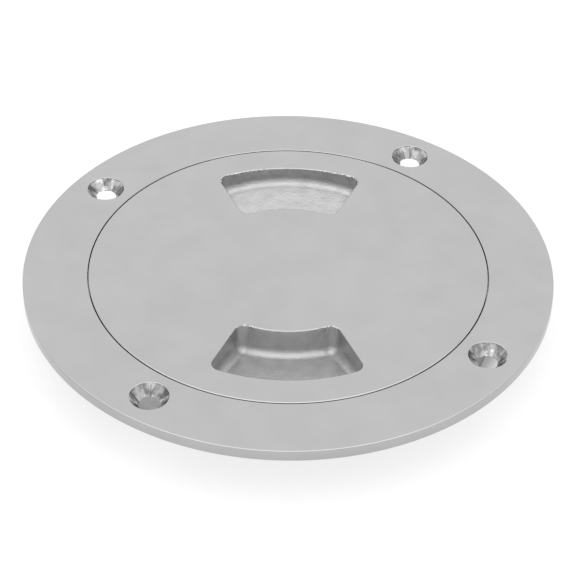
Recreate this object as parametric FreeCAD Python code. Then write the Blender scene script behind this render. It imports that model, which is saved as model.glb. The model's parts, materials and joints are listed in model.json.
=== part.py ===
import FreeCAD, Part
import math
import os

from FreeCAD import Vector

# Round screw-in deck inspection plate, cast in stainless steel and polished on top.
# A flanged ring is screwed down over a hole in the deck. A flush lid screws into the ring's
# collar. It is turned with two fingers in the pockets in its top, and squeezes an O-ring
# against a ledge in the ring. The ridges of the thread are left out: the collar's bore and
# the lid's skirt are the walls that carry them, with the thread's room in between.
# Units are millimetres. The origin is the centre of the flange's underside, where the ring
# lies on the deck, and +Z is up. The finger pockets lie on +Y and -Y when the lid is shut.

# Ring: the hole that it leaves clear, its flange and its collar
CLEAR_RADIUS = 50.8
FLANGE_THICKNESS = 3.3
FLANGE_EDGE_BREAK = 0.5
COLLAR_WALL_AT_SEAT = 1.95
COLLAR_DEPTH = 13.5
COLLAR_FOOT_BREAK = 0.6

# Countersunk holes in the flange, for four deck screws
SCREW_COUNT = 4
SCREW_FIRST_ANGLE = 56.2
SCREW_HOLE_RADIUS = 2.9
COUNTERSINK_RADIUS = 5.3
COUNTERSINK_ANGLE = 90.0
SCREW_FROM_COLLAR = 6.5
SCREW_FROM_RIM = 9.5

# Room for the thread between the collar's bore and the lid's skirt
THREAD_DEPTH = 1.1
THREAD_CLEARANCE = 0.25

# Seal: a ring of round rubber cord, drawn as it is when squeezed between lid and ledge
SEAL_CORD = 3.0
SEAL_SQUEEZED = 2.4
SEAL_SLACK = 0.1
SEAL_SIDE_ROOM = 0.54

# Lid: rim, top plate, the land that centres the seal, and the threaded skirt
LID_RIM_THICKNESS = 2.8
LID_PLATE_THICKNESS = 3.2
LID_EDGE_BREAK = 0.15
LID_SEAT_GAP = 0.3
SKIRT_WALL = 3.2
SKIRT_FROM_COLLAR_FOOT = 1.2
LAND_BELOW_LEDGE = 0.7

# Finger pockets in the lid's top, and the walls cast round them underneath
POCKET_COUNT = 2
POCKET_LENGTH = 19.55
POCKET_TO_SKIRT_WALL = 3.75
POCKET_SIDE_ANGLE = 23.55
POCKET_SIDE_OFFSET = 2.7
POCKET_DEPTH = 7.8
POCKET_FLOOR_TILT = 9.5
POCKET_INNER_DRAFT = 8.0
POCKET_OUTER_DRAFT = 3.0
POCKET_SIDE_DRAFT = 4.0
POCKET_CORNER = 2.8
POCKET_FLOOR_ROUND = 2.4
POCKET_WALL = 2.2
POCKET_WALL_BREAK = 2.4

# Heights that follow from the sizes above
TOP = FLANGE_THICKNESS
LID_RIM_FOOT = TOP - LID_RIM_THICKNESS
LID_PLATE_FOOT = TOP - LID_PLATE_THICKNESS
LEDGE = LID_RIM_FOOT - SEAL_SQUEEZED
COLLAR_FOOT = -COLLAR_DEPTH
SKIRT_FOOT = COLLAR_FOOT + SKIRT_FROM_COLLAR_FOOT
LAND_FOOT = LEDGE - LAND_BELOW_LEDGE

# Radii that follow, from the clear hole outwards
BORE_RADIUS = CLEAR_RADIUS + THREAD_DEPTH
SKIRT_RADIUS = CLEAR_RADIUS - THREAD_CLEARANCE
LAND_RADIUS = BORE_RADIUS - THREAD_CLEARANCE
SKIRT_INNER_RADIUS = SKIRT_RADIUS - SKIRT_WALL
SEAL_INNER_RADIUS = LAND_RADIUS + SEAL_SLACK
SEAL_FLAT = math.pi * (SEAL_CORD ** 2 - SEAL_SQUEEZED ** 2) / 4 / SEAL_SQUEEZED
SEAL_WIDTH = SEAL_FLAT + SEAL_SQUEEZED
LID_RADIUS = SEAL_INNER_RADIUS + SEAL_WIDTH + SEAL_SIDE_ROOM
SEAT_RADIUS = LID_RADIUS + LID_SEAT_GAP
COLLAR_RADIUS = SEAT_RADIUS + COLLAR_WALL_AT_SEAT
SCREW_CIRCLE_RADIUS = COLLAR_RADIUS + SCREW_FROM_COLLAR
FLANGE_RADIUS = SCREW_CIRCLE_RADIUS + SCREW_FROM_RIM
POCKET_OUTER_RADIUS = SKIRT_RADIUS - POCKET_TO_SKIRT_WALL
POCKET_INNER_RADIUS = POCKET_OUTER_RADIUS - POCKET_LENGTH

Z_AXIS = Vector(0, 0, 1)
ORIGIN = Vector(0, 0, 0)


def slope(degrees):
    """Sideways run per unit of height of a wall that leans by an angle."""
    return math.tan(math.radians(degrees))


def turned(profile):
    """Solid turned about Z from a closed profile of (radius, height) corners."""
    corners = [Vector(radius, 0, height) for radius, height in profile]
    face = Part.Face(Part.makePolygon(corners + corners[:1]))
    return face.revolve(ORIGIN, Z_AXIS, 360)


def circle_edge(solid, radius, height):
    """The edge of a turned solid that is a circle about Z of this radius, at this height."""
    for edge in solid.Edges:
        curve = edge.Curve
        if not isinstance(curve, Part.Circle):
            continue
        if abs(curve.Radius - radius) < 1e-5 and abs(curve.Center.z - height) < 1e-5:
            return edge
    raise ValueError(f"no circle of radius {radius} at height {height}")


def make_deck_ring():
    """Flange and collar, one casting."""
    ring = turned([
        (BORE_RADIUS, LEDGE),
        (SEAT_RADIUS, LEDGE),
        (SEAT_RADIUS, TOP),
        (FLANGE_RADIUS, TOP),
        (FLANGE_RADIUS, 0),
        (COLLAR_RADIUS, 0),
        (COLLAR_RADIUS, COLLAR_FOOT),
        (BORE_RADIUS, COLLAR_FOOT),
    ])
    ring = ring.makeChamfer(FLANGE_EDGE_BREAK, [circle_edge(ring, FLANGE_RADIUS, TOP)])
    ring = ring.makeChamfer(COLLAR_FOOT_BREAK, [circle_edge(ring, COLLAR_RADIUS, COLLAR_FOOT)])
    return ring.cut(make_screw_holes()).Solids[0]


def make_screw_holes():
    """The space of the countersunk holes, running past both faces of the flange."""
    sink_depth = (COUNTERSINK_RADIUS - SCREW_HOLE_RADIUS) / slope(COUNTERSINK_ANGLE / 2)
    past = FLANGE_THICKNESS
    flare = past * slope(COUNTERSINK_ANGLE / 2)
    hole = turned([
        (0, -past),
        (SCREW_HOLE_RADIUS, -past),
        (SCREW_HOLE_RADIUS, TOP - sink_depth),
        (COUNTERSINK_RADIUS + flare, TOP + past),
        (0, TOP + past),
    ])
    hole.translate(Vector(SCREW_CIRCLE_RADIUS, 0, 0))
    holes = []
    for number in range(SCREW_COUNT):
        copy = hole.copy()
        copy.rotate(ORIGIN, Z_AXIS, SCREW_FIRST_ANGLE + number * 360 / SCREW_COUNT)
        holes.append(copy)
    return Part.makeCompound(holes)


def make_lid_seal():
    """O-ring, flattened above and below where it is squeezed, with its rounds as flats."""
    middle_radius = SEAL_INNER_RADIUS + SEAL_WIDTH / 2
    middle_height = (LID_RIM_FOOT + LEDGE) / 2
    half_width = SEAL_WIDTH / 2
    half_height = SEAL_SQUEEZED / 2
    side = half_height * slope(45 / 2)
    corners = [
        (half_width, side),
        (half_width - half_height + side, half_height),
    ]
    corners += [(-across, up) for across, up in reversed(corners)]
    corners += [(-across, -up) for across, up in corners]
    return turned([(middle_radius + across, middle_height + up) for across, up in corners])


def behind_plane(point, outward):
    """A block with one face on the plane through a point, lying on its inner side."""
    size = 4 * FLANGE_RADIUS
    block = Part.makeBox(size, size, size, Vector(-size / 2, -size / 2, -size))
    block.Placement = FreeCAD.Placement(point, FreeCAD.Rotation(Z_AXIS, outward))
    return block


def drafted_cone(radius_at_top, draft, foot, head):
    """Cone about Z that has a radius at the lid's top and grows downwards by its draft."""
    foot_radius = radius_at_top + (TOP - foot) * slope(draft)
    head_radius = radius_at_top - (head - TOP) * slope(draft)
    return Part.makeCone(foot_radius, head_radius, head - foot, Vector(0, 0, foot))


def upright_edges(solid, head):
    """Edges that run down from the height of the head."""
    found = []
    for edge in solid.Edges:
        heights = [vertex.Point.z for vertex in edge.Vertexes]
        if max(heights) > head - 1e-6 and min(heights) < head - 1e-3:
            found.append(edge)
    return found


def lowest_face(solid):
    """The face of a solid whose middle lies lowest."""
    return min(solid.Faces, key=lambda face: face.CenterOfMass.z)


def pocket_form(wall, head):
    """The pocket on +Y as a solid up to a height, or with a wall its casting's outside.

    It is a sector of a ring. Its ends are cones about the lid's axis, its sides and floor
    are planes, and the floor rises towards the lid's rim. Inside, its edges are rounded, and
    the casting's outside has them bevelled.
    """
    foot = TOP - POCKET_DEPTH - POCKET_LENGTH / 2
    outer = drafted_cone(POCKET_OUTER_RADIUS + wall, -POCKET_OUTER_DRAFT, foot, head)
    inner = drafted_cone(POCKET_INNER_RADIUS - wall, POCKET_INNER_DRAFT, foot, head)
    form = outer.cut(inner)

    angle = math.radians(POCKET_SIDE_ANGLE)
    draft = math.radians(POCKET_SIDE_DRAFT)
    for side in (1, -1):
        across = Vector(side * math.cos(angle), -math.sin(angle), 0)
        outward = across * math.cos(draft) - Z_AXIS * math.sin(draft)
        at_top = Vector(side * POCKET_SIDE_OFFSET, 0, TOP) + across * wall
        form = form.common(behind_plane(at_top, outward))

    tilt = math.radians(POCKET_FLOOR_TILT)
    floor_down = Vector(0, math.sin(tilt), -math.cos(tilt))
    deepest_radius = POCKET_INNER_RADIUS + POCKET_DEPTH * slope(POCKET_INNER_DRAFT)
    deepest = Vector(0, deepest_radius, TOP - POCKET_DEPTH) + floor_down * wall
    form = form.common(behind_plane(deepest, floor_down)).removeSplitter().Solids[0]

    if wall:
        form = form.makeChamfer(POCKET_WALL_BREAK, upright_edges(form, head))
        return form.makeChamfer(POCKET_WALL_BREAK, lowest_face(form).Edges)
    form = form.makeFillet(POCKET_CORNER, upright_edges(form, head))
    return form.makeFillet(POCKET_FLOOR_ROUND, lowest_face(form).Edges)


def round_the_lid(form):
    """Copies of a pocket's form, evenly spaced about the lid's axis."""
    copies = []
    for number in range(POCKET_COUNT):
        copy = form.copy()
        copy.rotate(ORIGIN, Z_AXIS, number * 360 / POCKET_COUNT)
        copies.append(copy)
    return copies


def make_lid():
    """Lid plate, skirt and finger pockets, one casting."""
    lid = turned([
        (0, TOP),
        (LID_RADIUS, TOP),
        (LID_RADIUS, LID_RIM_FOOT),
        (LAND_RADIUS, LID_RIM_FOOT),
        (LAND_RADIUS, LAND_FOOT),
        (SKIRT_RADIUS, LAND_FOOT),
        (SKIRT_RADIUS, SKIRT_FOOT),
        (SKIRT_INNER_RADIUS, SKIRT_FOOT),
        (SKIRT_INNER_RADIUS, LID_PLATE_FOOT),
        (0, LID_PLATE_FOOT),
    ])
    lid = lid.makeChamfer(LID_EDGE_BREAK, [circle_edge(lid, LID_RADIUS, TOP)])
    half_plate = LID_PLATE_THICKNESS / 2
    lid = lid.fuse(round_the_lid(pocket_form(POCKET_WALL, TOP - half_plate)))
    lid = lid.cut(round_the_lid(pocket_form(0, TOP + half_plate)))
    return lid.removeSplitter().Solids[0]


os.makedirs("parts", exist_ok=True)
make_deck_ring().exportStep("parts/deck_ring.step")
make_lid().exportStep("parts/lid.step")
make_lid_seal().exportStep("parts/lid_seal.step")
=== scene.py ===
import json
import math

import bmesh
import bpy
from mathutils import Euler, Matrix, Vector, noise


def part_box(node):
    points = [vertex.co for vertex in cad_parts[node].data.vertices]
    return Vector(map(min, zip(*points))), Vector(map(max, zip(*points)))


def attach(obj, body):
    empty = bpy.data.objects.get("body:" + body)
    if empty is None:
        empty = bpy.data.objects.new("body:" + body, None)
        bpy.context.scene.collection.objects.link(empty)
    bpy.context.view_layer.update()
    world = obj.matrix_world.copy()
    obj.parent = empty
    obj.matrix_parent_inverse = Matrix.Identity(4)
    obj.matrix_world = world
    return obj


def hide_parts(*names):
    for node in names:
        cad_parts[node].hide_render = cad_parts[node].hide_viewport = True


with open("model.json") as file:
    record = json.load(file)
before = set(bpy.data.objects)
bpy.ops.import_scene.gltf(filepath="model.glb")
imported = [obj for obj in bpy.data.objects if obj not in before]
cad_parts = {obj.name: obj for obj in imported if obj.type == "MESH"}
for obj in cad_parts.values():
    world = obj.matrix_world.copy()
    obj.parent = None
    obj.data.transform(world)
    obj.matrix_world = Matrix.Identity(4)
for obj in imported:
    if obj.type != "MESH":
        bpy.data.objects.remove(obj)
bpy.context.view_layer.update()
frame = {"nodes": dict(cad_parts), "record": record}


# Deck ring
# One stainless steel casting: the flange that lies on the deck, and below it the collar that
# drops into the hole. It was turned on a lathe, its screw holes were drilled and countersunk
# with a cutter that chattered, and the flange's top and rim were polished to a mirror.
MM = 0.001
NEAR = 0.01 * MM
LEVEL = 0.99999
TURN_STEPS = 360
ORIGIN = (0, 0, 0)

ring_low, ring_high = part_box("deck_ring")
TOP = ring_high.z
COLLAR_FOOT = ring_low.z
FLANGE_RADIUS = 74.0 * MM
SEAT_RADIUS = 56.05 * MM
BORE_RADIUS = 51.9 * MM
LEDGE = -1.9 * MM
RIM_ROUND = 0.25 * MM
RIM_FOOT_BREAK = 0.25 * MM
SEAT_BREAK = 0.13 * MM
COLLAR_FOOT_BREAK = 0.6 * MM

mounts = {mount["name"]: mount for mount in frame["record"]["mounts"]}
COLLAR_RADIUS = mounts["collar"]["dims"]["r_mm"] * MM
SCREW_CIRCLE_RADIUS = mounts["screw_holes"]["dims"]["pcd_mm"] / 2 * MM
SCREW_HOLE_RADIUS = mounts["screw_holes"]["dims"]["hole_r_mm"] * MM
SCREW_COUNT = mounts["screw_holes"]["dims"]["count"]
SCREW_FIRST_ANGLE = math.radians(56.2)
SCREW_SPACING = math.tau / SCREW_COUNT
COUNTERSINK_RADIUS = 5.3 * MM
COUNTERSINK_STEP = 0.35 * MM
COUNTERSINK_LIP = 0.07 * MM
MOUTH_RADIUS = COUNTERSINK_RADIUS + 4 * COUNTERSINK_LIP
SINK_HEAD = TOP - COUNTERSINK_STEP
SINK_FOOT = SINK_HEAD - COUNTERSINK_RADIUS + SCREW_HOLE_RADIUS
HOLE_FOOT_BREAK = 0.4 * MM
HOLE_STEPS = 96
CHATTER_DEPTH = 0.17 * MM
CHATTER_WAVES = 5
CHATTER_RIPPLES = 9
CHATTER_RIPPLE_SHARE = 0.7
CHATTER_PHASE = 0.8
CHATTER_LAG = 2.0
RING_SMOOTH = math.radians(35)


def alone(piece):
    """Selects one piece and nothing else, and makes it the active one."""
    bpy.ops.object.select_all(action="DESELECT")
    piece.select_set(True)
    bpy.context.view_layer.objects.active = piece


def select_edges(piece, wanted):
    """In edit mode, selects the edges whose two ends are both wanted."""
    bpy.ops.mesh.select_mode(type="EDGE")
    bpy.ops.mesh.select_all(action="DESELECT")
    net = bmesh.from_edit_mesh(piece.data)
    for edge in net.edges:
        edge.select_set(all(wanted(end.co) for end in edge.verts))
    net.select_flush_mode()
    bmesh.update_edit_mesh(piece.data)


def select_faces(piece, wanted):
    """In edit mode, selects the faces that are wanted by their middle and their normal."""
    bpy.ops.mesh.select_mode(type="FACE")
    bpy.ops.mesh.select_all(action="DESELECT")
    net = bmesh.from_edit_mesh(piece.data)
    for face in net.faces:
        face.select_set(wanted(face.calc_center_median(), face.normal))
    net.select_flush_mode()
    bmesh.update_edit_mesh(piece.data)


def from_axis(place):
    """Distance of a place from the Z axis."""
    return math.hypot(place.x, place.y)


def on_circle(radius, height):
    """A test for places on a circle about Z."""
    return lambda place: abs(from_axis(place) - radius) < NEAR and abs(place.z - height) < NEAR


def turned(name, corners, steps, is_ring):
    """Piece turned about Z: a circle is drawn, then extruded and scaled from corner to corner.

    Corners are (radius, height). A ring closes on its first corner. Anything else starts and
    ends in a flat face.
    """
    radius, height = corners[0]
    bpy.ops.object.select_all(action="DESELECT")
    bpy.ops.mesh.primitive_circle_add(vertices=steps, radius=radius, location=(0, 0, height))
    bpy.ops.object.transform_apply(location=True)
    piece = bpy.context.object
    piece.name = name
    bpy.ops.object.mode_set(mode="EDIT")
    if not is_ring:
        bpy.ops.mesh.edge_face_add()
        select_edges(piece, on_circle(radius, height))
    path = corners[1:] + corners[:1] if is_ring else corners[1:]
    for next_radius, next_height in path:
        rise = (0, 0, next_height - height)
        scale = next_radius / radius
        bpy.ops.mesh.extrude_edges_move(TRANSFORM_OT_translate={"value": rise})
        bpy.ops.transform.resize(value=(scale, scale, 1), center_override=ORIGIN)
        radius, height = next_radius, next_height
    if not is_ring:
        bpy.ops.mesh.edge_face_add()
    bpy.ops.mesh.select_all(action="SELECT")
    bpy.ops.mesh.remove_doubles(threshold=NEAR / 10)
    bpy.ops.mesh.normals_make_consistent(inside=False)
    bpy.ops.object.mode_set(mode="OBJECT")
    return piece


def bevel_circle(piece, radius, height, width, segments):
    """Breaks or rounds the edge of a turned piece that is a circle at this height."""
    alone(piece)
    bpy.ops.object.mode_set(mode="EDIT")
    select_edges(piece, on_circle(radius, height))
    bpy.ops.mesh.bevel(offset=width, segments=segments, affect="EDGES")
    bpy.ops.object.mode_set(mode="OBJECT")


def cut_away(piece, cutter):
    """Cuts the cutter's space out of a piece, and throws the cutter away."""
    alone(piece)
    cut = piece.modifiers.new("cut", "BOOLEAN")
    cut.operation = "DIFFERENCE"
    cut.solver = "EXACT"
    cut.object = cutter
    bpy.ops.object.modifier_apply(modifier=cut.name)
    bpy.data.objects.remove(cutter)


def is_level(normal):
    """Whether a face with this normal is flat and level."""
    return abs(normal.z) > LEVEL


def shade(piece, angle):
    """Smooth shading between faces that meet at less than an angle, and true flats.

    The edges of level faces are kept sharp, so that a polished flat reflects as one mirror.
    """
    alone(piece)
    bpy.ops.object.shade_smooth_by_angle(angle=angle)
    bpy.ops.object.mode_set(mode="EDIT")
    select_faces(piece, lambda middle, normal: is_level(normal))
    bpy.ops.mesh.region_to_loop()
    bpy.ops.mesh.mark_sharp()
    bpy.ops.object.mode_set(mode="OBJECT")


deck_ring = turned(
    "deck_ring_casting",
    [
        (BORE_RADIUS, LEDGE),
        (SEAT_RADIUS, LEDGE),
        (SEAT_RADIUS, TOP),
        (FLANGE_RADIUS, TOP),
        (FLANGE_RADIUS, 0),
        (COLLAR_RADIUS, 0),
        (COLLAR_RADIUS, COLLAR_FOOT),
        (BORE_RADIUS, COLLAR_FOOT),
    ],
    TURN_STEPS,
    is_ring=True,
)
bevel_circle(deck_ring, FLANGE_RADIUS, TOP, RIM_ROUND, segments=4)
bevel_circle(deck_ring, FLANGE_RADIUS, 0, RIM_FOOT_BREAK, segments=2)
bevel_circle(deck_ring, SEAT_RADIUS, TOP, SEAT_BREAK, segments=1)
bevel_circle(deck_ring, COLLAR_RADIUS, COLLAR_FOOT, COLLAR_FOOT_BREAK, segments=1)


def chatter(tool, phase):
    """Makes the cone of a countersink wavy, as a tool does that chatters in tough steel.

    The waves wander as the tool sinks in: at the head of the cone they lag behind its foot.
    """
    for point in tool.data.vertices:
        if SINK_FOOT - NEAR < point.co.z < SINK_HEAD + NEAR:
            turn = math.atan2(point.co.y, point.co.x)
            lag = CHATTER_LAG if point.co.z > SINK_HEAD - NEAR else 0.0
            waves = math.sin(CHATTER_WAVES * turn + phase + lag)
            ripples = math.sin(CHATTER_RIPPLES * turn + CHATTER_WAVES * phase - lag)
            swing = waves + CHATTER_RIPPLE_SHARE * ripples
            depth = CHATTER_DEPTH * SCREW_HOLE_RADIUS / from_axis(point.co)
            grown = 1 + depth * swing / from_axis(point.co)
            point.co.x *= grown
            point.co.y *= grown


# The cutter leaves a shallow step above its cone, and the mouth flares a little, as the
# polishing wheel drags down the edge of a hole.
drill = turned(
    "countersink_drill",
    [
        (SCREW_HOLE_RADIUS + HOLE_FOOT_BREAK + TOP, -TOP),
        (SCREW_HOLE_RADIUS, HOLE_FOOT_BREAK),
        (SCREW_HOLE_RADIUS, SINK_FOOT),
        (COUNTERSINK_RADIUS, SINK_HEAD),
        (COUNTERSINK_RADIUS, TOP - COUNTERSINK_LIP),
        (MOUTH_RADIUS, TOP + COUNTERSINK_LIP),
        (MOUTH_RADIUS, 2 * TOP),
    ],
    HOLE_STEPS,
    is_ring=False,
)
for number in range(SCREW_COUNT):
    copy = drill.copy()
    copy.data = drill.data.copy()
    bpy.context.scene.collection.objects.link(copy)
    chatter(copy, CHATTER_PHASE + number)
    copy.data.transform(Matrix.Translation((SCREW_CIRCLE_RADIUS, 0, 0)))
    copy.data.transform(Matrix.Rotation(SCREW_FIRST_ANGLE + number * SCREW_SPACING, 4, "Z"))
    cut_away(deck_ring, copy)
bpy.data.objects.remove(drill)

shade(deck_ring, RING_SMOOTH)


def linear(code):
    """A hex colour as it looks on a screen, as the linear colour that a shader takes."""
    channels = [int(code[start:start + 2], 16) / 255 for start in (1, 3, 5)]
    return tuple(c / 12.92 if c < 0.04045 else ((c + 0.055) / 1.055) ** 2.4 for c in channels) + (1,)


def add_node(tree, kind, settings, inputs):
    """Adds a node with its settings. An input is a value, or the output that feeds it."""
    node = tree.nodes.new(kind)
    for name, value in settings.items():
        setattr(node, name, value)
    for name, value in inputs.items():
        if isinstance(value, bpy.types.NodeSocket):
            tree.links.new(value, node.inputs[name])
        else:
            node.inputs[name].default_value = value
    return node


def new_material(name):
    """An empty material with its output, and the tree that its nodes go into."""
    material = bpy.data.materials.new(name)
    material.use_nodes = True
    material.node_tree.nodes.clear()
    return material, material.node_tree


# Stainless steel polished to a mirror with a wheel: it takes all its look from what is
# round it, softened a little. Its surface keeps a faint wave and a faint, patchy haze from
# the wheel.
WHEEL_WAVE = 14 * MM
WHEEL_WAVE_DEPTH = 0.0015 * MM
HAZE_PATCH = 11 * MM

polished_steel, tree = new_material("mirror polished stainless steel")
place = add_node(tree, "ShaderNodeTexCoord", {}, {})
wave = add_node(
    tree,
    "ShaderNodeTexNoise",
    {},
    {"Vector": place.outputs["Object"], "Scale": 1 / WHEEL_WAVE, "Detail": 2.0},
)
relief = add_node(
    tree,
    "ShaderNodeBump",
    {},
    {"Height": wave.outputs["Fac"], "Strength": 1.0, "Distance": WHEEL_WAVE_DEPTH},
)
haze = add_node(
    tree,
    "ShaderNodeTexNoise",
    {},
    {"Vector": place.outputs["Object"], "Scale": 1 / HAZE_PATCH, "Detail": 3.0},
)
patches = add_node(
    tree, "ShaderNodeMapRange", {}, {"Value": haze.outputs["Fac"], "From Min": 0.3, "From Max": 0.7}
)
shade_of_steel = add_node(
    tree,
    "ShaderNodeMix",
    {"data_type": "RGBA"},
    {0: patches.outputs[0], 6: linear("#BEBEBE"), 7: linear("#C3C3C3")},
)
steel = add_node(
    tree,
    "ShaderNodeBsdfPrincipled",
    {},
    {
        "Base Color": shade_of_steel.outputs[2],
        "Metallic": 1.0,
        "Roughness": 0.08,
        "Normal": relief.outputs["Normal"],
    },
)
add_node(tree, "ShaderNodeOutputMaterial", {}, {"Surface": steel.outputs["BSDF"]})

# The same steel as a lathe tool leaves it, in the seat, the bore and the threads: bright, with
# a fine ring for each turn of the tool. The rings are too fine to show, so they are drawn as
# roughness, which softens what the steel mirrors.
turned_steel, tree = new_material("turned stainless steel")
steel = add_node(
    tree,
    "ShaderNodeBsdfPrincipled",
    {},
    {"Base Color": linear("#BEBEBE"), "Metallic": 1.0, "Roughness": 0.18},
)
add_node(tree, "ShaderNodeOutputMaterial", {}, {"Surface": steel.outputs["BSDF"]})

# The same steel as the cutter leaves it in the countersinks: bright, but torn here and there,
# with darker smears where the cutting oil dried.
SMEAR = 2.4 * MM
TEAR_DEPTH = 0.25 * MM

drilled_steel, tree = new_material("drilled stainless steel")
place = add_node(tree, "ShaderNodeTexCoord", {}, {})
smear = add_node(
    tree,
    "ShaderNodeTexNoise",
    {},
    {"Vector": place.outputs["Object"], "Scale": 1 / SMEAR, "Detail": 1.5},
)
smeared = add_node(
    tree, "ShaderNodeMapRange", {}, {"Value": smear.outputs["Fac"], "From Min": 0.4, "From Max": 0.6}
)
shade_of_steel = add_node(
    tree,
    "ShaderNodeMix",
    {"data_type": "RGBA"},
    {0: smeared.outputs[0], 6: linear("#969696"), 7: linear("#CECECE")},
)
relief = add_node(
    tree,
    "ShaderNodeBump",
    {},
    {"Height": smear.outputs["Fac"], "Strength": 1.0, "Distance": TEAR_DEPTH},
)
steel = add_node(
    tree,
    "ShaderNodeBsdfPrincipled",
    {},
    {
        "Base Color": shade_of_steel.outputs[2],
        "Metallic": 1.0,
        "Roughness": 0.16,
        "Normal": relief.outputs["Normal"],
    },
)
add_node(tree, "ShaderNodeOutputMaterial", {}, {"Surface": steel.outputs["BSDF"]})

# The same steel as it came out of the shell mould and was blasted: dull, slightly grainy and
# faintly stained. The wheel that polished the top also brightened the lips of the pockets,
# down to an uneven line.
LIP_DEPTH = 0.3 * MM
LIP_UNEVEN = 1.2 * MM
LIP_NIBBLE = 0.9 * MM
LIP_FADE = 0.04 * MM
GRAIN = 0.8 * MM
GRAIN_DEPTH = 0.13 * MM
STAIN = 3.0 * MM

cast_steel, tree = new_material("cast stainless steel")
place = add_node(tree, "ShaderNodeTexCoord", {}, {})
parts = add_node(tree, "ShaderNodeSeparateXYZ", {}, {"Vector": place.outputs["Object"]})
uneven = add_node(
    tree,
    "ShaderNodeTexNoise",
    {},
    {"Vector": place.outputs["Object"], "Scale": 1 / LIP_NIBBLE, "Detail": 3.0},
)
lip_height = add_node(
    tree,
    "ShaderNodeMath",
    {"operation": "MULTIPLY_ADD"},
    {0: uneven.outputs["Fac"], 1: LIP_UNEVEN, 2: TOP - LIP_DEPTH - LIP_UNEVEN / 2},
)
over_lip = add_node(
    tree,
    "ShaderNodeMath",
    {"operation": "SUBTRACT"},
    {0: parts.outputs["Z"], 1: lip_height.outputs[0]},
)
dull = add_node(
    tree,
    "ShaderNodeMapRange",
    {},
    {
        "Value": over_lip.outputs[0],
        "From Min": -LIP_FADE,
        "From Max": LIP_FADE,
        "To Min": 1.0,
        "To Max": 0.0,
    },
)
roughness = add_node(
    tree, "ShaderNodeMapRange", {}, {"Value": dull.outputs[0], "To Min": 0.12, "To Max": 0.4}
)
grain = add_node(
    tree,
    "ShaderNodeTexNoise",
    {},
    {"Vector": place.outputs["Object"], "Scale": 1 / GRAIN, "Detail": 5.0, "Roughness": 0.6},
)
relief = add_node(
    tree,
    "ShaderNodeBump",
    {},
    {"Height": grain.outputs["Fac"], "Strength": dull.outputs[0], "Distance": GRAIN_DEPTH},
)
stains = add_node(
    tree,
    "ShaderNodeTexNoise",
    {},
    {"Vector": place.outputs["Object"], "Scale": 1 / STAIN, "Detail": 4.0},
)
patches = add_node(
    tree, "ShaderNodeMapRange", {}, {"Value": stains.outputs["Fac"], "From Min": 0.35, "From Max": 0.65}
)
shade_of_steel = add_node(
    tree,
    "ShaderNodeMix",
    {"data_type": "RGBA"},
    {0: patches.outputs[0], 6: linear("#B6B6B6"), 7: linear("#C0C0C0")},
)
steel = add_node(
    tree,
    "ShaderNodeBsdfPrincipled",
    {},
    {
        "Base Color": shade_of_steel.outputs[2],
        "Metallic": 1.0,
        "Roughness": roughness.outputs[0],
        "Normal": relief.outputs["Normal"],
    },
)
add_node(tree, "ShaderNodeOutputMaterial", {}, {"Surface": steel.outputs["BSDF"]})


def finish_faces(piece, finishes, choose):
    """Gives a piece its finishes, each face the one whose number is chosen by its place."""
    piece.data.materials.clear()
    for finish in finishes:
        piece.data.materials.append(finish)
    for face in piece.data.polygons:
        face.material_index = choose(face.center, face.normal)


def hole_turn(place):
    """How far a place is turned about Z from the nearest screw hole."""
    turn = math.atan2(place.y, place.x) - SCREW_FIRST_ANGLE
    return turn - round(turn / SCREW_SPACING) * SCREW_SPACING


POLISHED, TURNED, CAST, DRILLED = range(4)


def ring_finish(middle, normal):
    """Drilled in the holes, polished on the flange's top and rim, turned inside, cast below."""
    out = from_axis(middle)
    turn = hole_turn(middle)
    from_hole = math.hypot(out * math.cos(turn) - SCREW_CIRCLE_RADIUS, out * math.sin(turn))
    if from_hole < COUNTERSINK_RADIUS and not is_level(normal):
        return DRILLED
    if out > SEAT_RADIUS and (middle.z > TOP - NEAR or out > FLANGE_RADIUS - RIM_ROUND):
        return POLISHED if middle.z > NEAR else CAST
    if out < COLLAR_RADIUS - COLLAR_FOOT_BREAK and middle.z < TOP - NEAR:
        return TURNED
    return CAST if middle.z < NEAR else TURNED


finish_faces(deck_ring, [polished_steel, turned_steel, cast_steel, drilled_steel], ring_finish)
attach(deck_ring, "ring")
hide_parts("deck_ring")


# Lid
# One stainless steel casting: a flush disc with two finger pockets cast into its top, and a
# skirt below it for the thread. The disc was polished to a mirror, and the wheel tore at the
# pockets' lips and left them ragged near the corners. The pockets stay as they were cast.
LID_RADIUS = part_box("lid")[1].x
LID_RIM_FOOT = 0.6 * MM
LID_EDGE_BREAK = 0.15 * MM
LID_EDGE_ROUND = 0.1 * MM
LID_SMOOTH = math.radians(30)
FLAT_WITHIN = math.radians(0.5)
POCKETS_WITHIN = 48.5 * MM
POCKET_MIDDLE = 37.5 * MM
POCKET_LIP = 0.25 * MM
LIP_CUTS = 5
LIP_TOP = 0.99
LIP_CHIPPED = 0.4 * MM
LIP_CHIP = 0.7 * MM
LIP_CHIP_BIAS = 0.15
LIP_RAGGED = 0.25 * MM
LIP_TOOTH = 0.3 * MM
LIP_SEED = 1
RAGGED_FROM = 6.0 * MM
RAGGED_TO = 11.0 * MM
INNER_LIPS_WITHIN = 29.0 * MM
BACK_LIP_FROM = 43.0 * MM

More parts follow.
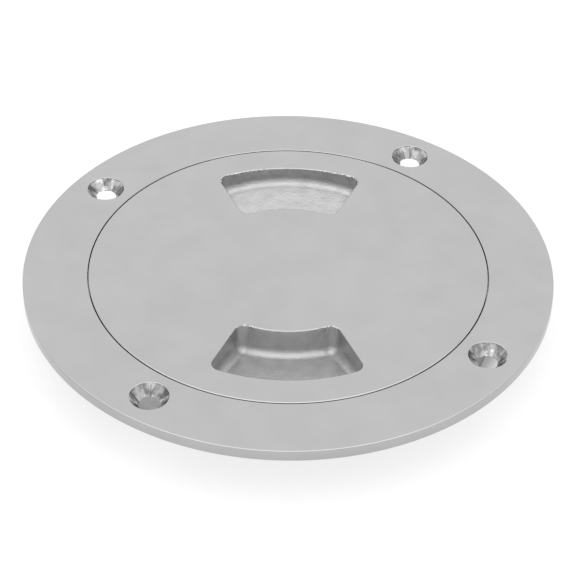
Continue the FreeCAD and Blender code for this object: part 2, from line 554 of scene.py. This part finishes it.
# The casting starts from the CAD solid's mesh. Its level faces become one face each, and the
# lips of its pockets are divided finely and rounded.
lid = bpy.data.objects.new("lid_casting", frame["nodes"]["lid"].data.copy())
bpy.context.scene.collection.objects.link(lid)
alone(lid)
bpy.ops.mesh.customdata_custom_splitnormals_clear()
bpy.ops.object.mode_set(mode="EDIT")
bpy.ops.mesh.select_all(action="SELECT")
bpy.ops.mesh.remove_doubles(threshold=NEAR / 10)
select_faces(lid, lambda middle, normal: is_level(normal))
bpy.ops.mesh.dissolve_limited(angle_limit=FLAT_WITHIN)
select_faces(lid, lambda middle, normal: is_level(normal) and middle.z > TOP - NEAR)
bpy.ops.mesh.region_to_loop()
net = bmesh.from_edit_mesh(lid.data)
for edge in net.edges:
    if any(from_axis(end.co) > POCKETS_WITHIN for end in edge.verts):
        edge.select_set(False)
bmesh.update_edit_mesh(lid.data)
bpy.ops.mesh.subdivide(number_cuts=LIP_CUTS)
bpy.ops.mesh.bevel(offset=POCKET_LIP, segments=3, affect="EDGES")
bpy.ops.object.mode_set(mode="OBJECT")

# The inner lips of both pockets and the outer lip of the back one are torn towards their
# ends: chips push the lip away from the pocket's middle, and fine teeth roughen it below its
# top row of points. The seed gives the same teeth each time.
noise.seed_set(LIP_SEED)
for point in lid.data.vertices:
    height = 1 - (TOP - point.co.z) / POCKET_LIP
    out = from_axis(point.co)
    on_lip = out < INNER_LIPS_WITHIN or (BACK_LIP_FROM < out < POCKETS_WITHIN and point.co.y > 0)
    end = (abs(point.co.x) - RAGGED_FROM) / (RAGGED_TO - RAGGED_FROM)
    if height > 0 and on_lip and end > 0:
        end = min(end, 1)
        away = point.co - Vector((0, math.copysign(POCKET_MIDDLE, point.co.y), point.co.z))
        chip = noise.noise(point.co / LIP_CHIP) + LIP_CHIP_BIAS
        ragged = noise.noise_vector(point.co / LIP_TOOTH)
        point.co += away.normalized() * LIP_CHIPPED * end * max(chip, 0) * height
        if height < LIP_TOP:
            point.co += ragged * LIP_RAGGED * end
            point.co.z = min(point.co.z, TOP - NEAR)
bevel_circle(lid, LID_RADIUS - LID_EDGE_BREAK, TOP, LID_EDGE_ROUND, segments=3)
shade(lid, LID_SMOOTH)


def lid_finish(middle, normal):
    """Polished on top and on the rim, turned on the skirt, cast in the pockets and below."""
    out = from_axis(middle)
    if middle.z > TOP - NEAR or (out > LID_RADIUS - MM and middle.z > LID_RIM_FOOT):
        return POLISHED
    return TURNED if out > POCKETS_WITHIN else CAST


finish_faces(lid, [polished_steel, turned_steel, cast_steel], lid_finish)
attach(lid, "lid")
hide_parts("lid")


# Threads
# A coarse ridge winds round the collar's bore and another round the lid's skirt, cut on the
# same lathe. They are the same steel, and turn between each other with a little play.
THREAD_PITCH = 4.0 * MM
THREAD_ROOTED = 0.2 * MM
THREAD_CREST_WIDTH = 1.0 * MM
THREAD_FLANK = math.radians(30)
THREAD_STEPS_PER_TURN = 180
THREAD_RUN_OUT = 0.12
THREAD_SMOOTH = math.radians(25)


def thread(name, wall_radius, crest_radius, passes_height, start, end):
    """A right-handed ridge on a wall, its middle line running between two heights.

    The middle line crosses the XZ plane at passes_height, give or take whole turns, and the
    ridge sinks into the wall over its first and last part of a turn.
    """
    outward = math.copysign(1, crest_radius - wall_radius)
    root_radius = wall_radius - outward * THREAD_ROOTED
    half_crest = THREAD_CREST_WIDTH / 2
    half_root = half_crest + abs(crest_radius - root_radius) * math.tan(THREAD_FLANK)
    turns = (end - start) / THREAD_PITCH

    bpy.ops.object.select_all(action="DESELECT")
    bpy.ops.mesh.primitive_plane_add(size=1)
    ridge = bpy.context.object
    ridge.name = name
    section = [
        (root_radius, start - half_root),
        (crest_radius, start - half_crest),
        (root_radius, start + half_root),
        (crest_radius, start + half_crest),
    ]
    for corner, (radius, height) in zip(ridge.data.vertices, section):
        corner.co = (radius, 0, height)
    bpy.ops.object.mode_set(mode="EDIT")
    bpy.ops.mesh.select_all(action="SELECT")
    bpy.ops.mesh.delete(type="ONLY_FACE")
    bpy.ops.object.mode_set(mode="OBJECT")

    winding = ridge.modifiers.new("winding", "SCREW")
    winding.angle = turns * math.tau
    winding.screw_offset = turns * THREAD_PITCH
    winding.steps = round(turns * THREAD_STEPS_PER_TURN)
    winding.render_steps = winding.steps
    bpy.ops.object.modifier_apply(modifier=winding.name)

    start_turn = (start - passes_height) / THREAD_PITCH
    for point in ridge.data.vertices:
        turn = math.atan2(point.co.y, point.co.x) / math.tau
        turn += round((point.co.z - start) / THREAD_PITCH - turn)
        run_in = min(turn, turns - turn) / THREAD_RUN_OUT
        sunk = 1 - min(max(run_in, 0), 1)
        radius = from_axis(point.co)
        lowered = radius + (root_radius - radius) * sunk
        point.co.x *= lowered / radius
        point.co.y *= lowered / radius
    ridge.data.transform(Matrix.Rotation(start_turn * math.tau, 4, "Z"))

    bpy.ops.object.mode_set(mode="EDIT")
    bpy.ops.mesh.select_mode(type="EDGE")
    bpy.ops.mesh.select_all(action="DESELECT")
    bpy.ops.mesh.select_non_manifold()
    bpy.ops.mesh.fill()
    bpy.ops.mesh.select_all(action="SELECT")
    bpy.ops.mesh.normals_make_consistent(inside=False)
    bpy.ops.object.mode_set(mode="OBJECT")
    bpy.ops.object.shade_smooth_by_angle(angle=THREAD_SMOOTH)
    finish_faces(ridge, [turned_steel], lambda middle, normal: 0)
    return ridge


SKIRT_RADIUS = 50.55 * MM
THREAD_PLAY = 0.25 * MM
COLLAR_THREAD_CREST = SKIRT_RADIUS + THREAD_PLAY
SKIRT_THREAD_CREST = BORE_RADIUS - THREAD_PLAY

collar_thread = thread(
    "collar_thread",
    BORE_RADIUS,
    COLLAR_THREAD_CREST,
    passes_height=-7.0 * MM,
    start=-12.2 * MM,
    end=-4.2 * MM,
)
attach(collar_thread, "ring")

skirt_thread = thread(
    "skirt_thread",
    SKIRT_RADIUS,
    SKIRT_THREAD_CREST,
    passes_height=-5.0 * MM,
    start=-11.0 * MM,
    end=-4.4 * MM,
)
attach(skirt_thread, "lid")


# Seal
# A moulded nitrile rubber O-ring that lies on the ring's ledge round the lid's land. The
# lid's rim squeezes it a little flat, so that no water gets past.
seal_low, seal_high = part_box("lid_seal")
SEAL_OUTER = seal_high.x
SEAL_INNER = 51.75 * MM
SEAL_ROUND = (seal_high.z - seal_low.z) / 2
SEAL_MIDDLE = (seal_high.z + seal_low.z) / 2
SEAL_STEPS = 10


def seal_corners():
    """The O-ring's section: two half rounds with a flat between them above and below."""
    corners = []
    rounds = ((SEAL_OUTER - SEAL_ROUND, -math.pi / 2), (SEAL_INNER + SEAL_ROUND, math.pi / 2))
    for centre, first in rounds:
        for step in range(SEAL_STEPS + 1):
            angle = first + step * math.pi / SEAL_STEPS
            out = centre + SEAL_ROUND * math.cos(angle)
            corners.append((out, SEAL_MIDDLE + SEAL_ROUND * math.sin(angle)))
    return corners


seal = turned("lid_seal_rubber", seal_corners(), TURN_STEPS, is_ring=True)
alone(seal)
bpy.ops.object.shade_smooth()

# Black nitrile rubber from a mould: almost black, with a soft, slightly greasy sheen.
BLOOM = 3 * MM
BLOOM_DEPTH = 0.03 * MM

nitrile_rubber, tree = new_material("moulded nitrile rubber")
place = add_node(tree, "ShaderNodeTexCoord", {}, {})
bloom = add_node(
    tree,
    "ShaderNodeTexNoise",
    {},
    {"Vector": place.outputs["Object"], "Scale": 1 / BLOOM, "Detail": 4.0},
)
relief = add_node(
    tree,
    "ShaderNodeBump",
    {},
    {"Height": bloom.outputs["Fac"], "Strength": 0.5, "Distance": BLOOM_DEPTH},
)
rubber = add_node(
    tree,
    "ShaderNodeBsdfPrincipled",
    {},
    {"Base Color": linear("#1C1C1D"), "Roughness": 0.5, "Normal": relief.outputs["Normal"]},
)
add_node(tree, "ShaderNodeOutputMaterial", {}, {"Surface": rubber.outputs["BSDF"]})
finish_faces(seal, [nitrile_rubber], lambda middle, normal: 0)
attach(seal, "seal")
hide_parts("lid_seal")


# Camera
# A long lens looks down on the plate from the side of the front pocket, held slightly askew.
CAMERA_FOCAL_LENGTH = 136.9
CAMERA_SENSOR = 36
CAMERA_CLIP = 0.01
CAMERA_DISTANCE = 612.7 * MM
CAMERA_ELEVATION = math.radians(39.55)
CAMERA_ROLL = math.radians(0.67)
CAMERA_LOWERED = 5.6 * MM

lens = bpy.data.cameras.new("camera")
lens.lens = CAMERA_FOCAL_LENGTH
lens.sensor_width = CAMERA_SENSOR
lens.clip_start = CAMERA_CLIP
camera = bpy.data.objects.new("camera", lens)
bpy.context.scene.collection.objects.link(camera)
bpy.context.scene.camera = camera
aim = Euler((math.pi / 2 - CAMERA_ELEVATION, 0, 0)).to_matrix()
camera.location = Vector((0, 0, TOP)) + aim @ Vector((0, -CAMERA_LOWERED, CAMERA_DISTANCE))
camera.rotation_euler = (aim @ Matrix.Rotation(CAMERA_ROLL, 3, "Z")).to_euler()


# Floor and light
# The plate stands on white paper in a light tent, under a wide softbox. The tent is white all
# round, but greyer on the side where it is open for the camera. Under the plate, a little to the
# back, a painted shade dims the paper's glow, both in view and as the steel mirrors it.
FLOOR_SIZE = 6.0
FLOOR_GLOW = 0.75
MIRRORED_GLOW = 0.55
# The painted shade under the plate: where its circle starts, how it fades, how far back it is set, and
# how deep it is.
PAINTED_SHADE_WITHIN = 62 * MM
PAINTED_SHADE_FADE = 5 * MM
PAINTED_SHADE_BACK = 8 * MM
PAINTED_SHADE_DEPTH = 0.65

bpy.ops.object.select_all(action="DESELECT")
bpy.ops.mesh.primitive_plane_add(size=FLOOR_SIZE, location=(0, 0, COLLAR_FOOT))
floor = bpy.context.object
floor.name = "floor"
bpy.ops.object.transform_apply(location=True)

# Matt white paper, lit so well that it is pure white to the camera. In the steel it shows a
# little greyer.
paper, tree = new_material("white paper")
rays = add_node(tree, "ShaderNodeLightPath", {}, {})
mirrored = add_node(
    tree,
    "ShaderNodeMath",
    {"operation": "MAXIMUM"},
    {0: rays.outputs["Is Glossy Ray"], 1: rays.outputs["Is Transmission Ray"]},
)
in_mirrors = add_node(
    tree, "ShaderNodeMath", {"operation": "MULTIPLY"}, {0: mirrored.outputs[0], 1: MIRRORED_GLOW}
)
unshaded = add_node(
    tree,
    "ShaderNodeMath",
    {"operation": "MULTIPLY_ADD"},
    {0: rays.outputs["Is Camera Ray"], 1: FLOOR_GLOW, 2: in_mirrors.outputs[0]},
)
# Painted shade: the paper's glow, both to the camera and in mirrors, is dimmed within a circle under
# the plate that is set a little to the back, and it fades out at the circle's edge.
place = add_node(tree, "ShaderNodeTexCoord", {}, {})
away = add_node(
    tree,
    "ShaderNodeVectorMath",
    {"operation": "DISTANCE"},
    {0: place.outputs["Object"], 1: (0, PAINTED_SHADE_BACK, COLLAR_FOOT)},
)
painted_shade = add_node(
    tree,
    "ShaderNodeMapRange",
    {},
    {
        "Value": away.outputs["Value"],
        "From Min": PAINTED_SHADE_WITHIN,
        "From Max": PAINTED_SHADE_WITHIN + PAINTED_SHADE_FADE,
        "To Min": 1 - PAINTED_SHADE_DEPTH,
        "To Max": 1.0,
    },
)
lift = add_node(
    tree, "ShaderNodeMath", {"operation": "MULTIPLY"}, {0: unshaded.outputs[0], 1: painted_shade.outputs[0]}
)
matt = add_node(tree, "ShaderNodeBsdfDiffuse", {}, {"Color": linear("#989898")})
glow = add_node(tree, "ShaderNodeEmission", {}, {"Color": (1, 1, 1, 1), "Strength": lift.outputs[0]})
both = add_node(tree, "ShaderNodeAddShader", {}, {0: matt.outputs["BSDF"], 1: glow.outputs["Emission"]})
add_node(tree, "ShaderNodeOutputMaterial", {}, {"Surface": both.outputs["Shader"]})
floor.data.materials.append(paper)

# A square softbox hangs level, straight above the plate.
SOFTBOX_SIDE = 1.05
SOFTBOX_HEIGHT = 0.8
SOFTBOX_POWER = 2.7342

softbox_light = bpy.data.lights.new("softbox", "AREA")
softbox_light.shape = "SQUARE"
softbox_light.size = SOFTBOX_SIDE
softbox_light.energy = SOFTBOX_POWER
softbox = bpy.data.objects.new("softbox", softbox_light)
softbox.location = (0, 0, SOFTBOX_HEIGHT)
softbox.visible_camera = False
bpy.context.scene.collection.objects.link(softbox)

# How bright the tent is from the camera's side, at 0, to the far side, at 1.
TENT = (
    (0.0, 1.1),
    (0.08, 0.9),
    (0.105, 0.55),
    (0.13, 0.55),
    (0.17, 1.15),
    (0.45, 0.75),
    (0.65, 0.95),
    (0.92, 1.0),
    (1.0, 0.8),
)

world = bpy.data.worlds.new("light tent")
bpy.context.scene.world = world
world.use_nodes = True
tree = world.node_tree
tree.nodes.clear()
place = add_node(tree, "ShaderNodeTexCoord", {}, {})
parts = add_node(tree, "ShaderNodeSeparateXYZ", {}, {"Vector": place.outputs["Generated"]})
depth = add_node(
    tree, "ShaderNodeMapRange", {}, {"Value": parts.outputs["Y"], "From Min": -1.0, "From Max": 1.0}
)
tent = add_node(tree, "ShaderNodeValToRGB", {}, {"Fac": depth.outputs[0]})
ramp = tent.color_ramp
for position, strength in TENT[1:-1]:
    ramp.elements.new(position)
for element, (position, strength) in zip(ramp.elements, TENT):
    element.color = (strength, strength, strength, 1)
rays = add_node(tree, "ShaderNodeLightPath", {}, {})
inside = add_node(tree, "ShaderNodeBackground", {}, {"Color": tent.outputs["Color"], "Strength": 1.0})
outside = add_node(tree, "ShaderNodeBackground", {}, {"Color": (1, 1, 1, 1), "Strength": 1.0})
mixed = add_node(
    tree,
    "ShaderNodeMixShader",
    {},
    {
        0: rays.outputs["Is Camera Ray"],
        1: inside.outputs["Background"],
        2: outside.outputs["Background"],
    },
)
add_node(tree, "ShaderNodeOutputWorld", {}, {"Surface": mixed.outputs["Shader"]})

bpy.context.scene.view_settings.view_transform = "Standard"
